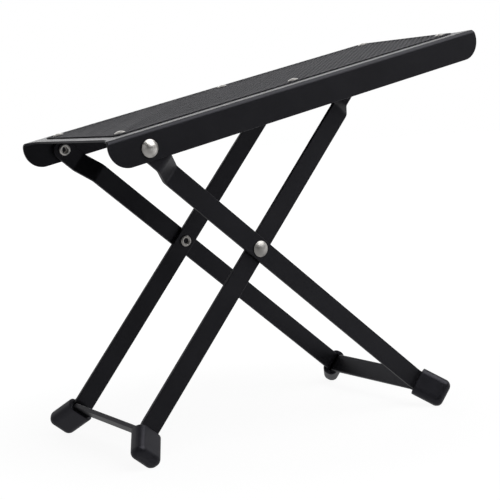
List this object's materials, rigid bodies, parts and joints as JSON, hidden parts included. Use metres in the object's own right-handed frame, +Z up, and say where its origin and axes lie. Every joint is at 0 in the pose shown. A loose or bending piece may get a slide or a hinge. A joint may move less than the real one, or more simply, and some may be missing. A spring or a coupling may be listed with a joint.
{
  "type": "guitar footrest",
  "caption": "Folding musician's footrest: a tilted black steel plate with a ribbed rubber mat on two crossed U frames of flat bar with rubber feet.",
  "frame": {"origin": "middle of the footprint, on the floor", "axes": "+X towards the plate's high end, +Y to the far side, +Z up"},
  "size_m": [0.2646, 0.1196, 0.2352],
  "materials": {
    "black_coat": "satin black powder coat",
    "mat_rubber": "ribbed matte rubber",
    "foot_rubber": "moulded satin rubber",
    "bright_nickel": "bright nickel plate",
    "plated_steel": "turned and zinc plated"
  },
  "bodies": {
    "base": {"pivot_frame": "black_coat", "pivot_foot_near": "foot_rubber", "pivot_foot_far": "foot_rubber", "crossing_rivet_near": "bright_nickel", "crossing_rivet_far": "bright_nickel", "top_rivet_near": "bright_nickel", "top_rivet_far": "bright_nickel"},
    "prop": {"prop_frame": "black_coat", "prop_foot_near": "foot_rubber", "prop_foot_far": "foot_rubber", "cross_rod": "plated_steel"},
    "platform": {"deck_plate": "black_coat", "tread_mat": "mat_rubber", "mat_rivet_1": "bright_nickel", "mat_rivet_2": "bright_nickel", "mat_rivet_3": "bright_nickel", "mat_rivet_4": "bright_nickel", "mat_rivet_5": "bright_nickel", "mat_rivet_6": "bright_nickel", "rail_near": "black_coat", "rail_far": "black_coat"}
  },
  "joints": [
    {"name": "fold", "type": "hinge", "parent": "base", "child": "prop", "pos_m": [-0.03288, 0, 0.11142], "axis": [0, 1, 0], "range_deg": [0, 88.5]},
    {"name": "platform_follow", "type": "hinge", "parent": "base", "child": "platform", "pos_m": [-0.10755, 0, 0.17334], "axis": [0, 1, 0], "range_deg": [0, 52]}
  ],
  "couplings": [
    {"joint": "platform_follow", "follows": "fold", "ratio": 0.5778}
  ]
}
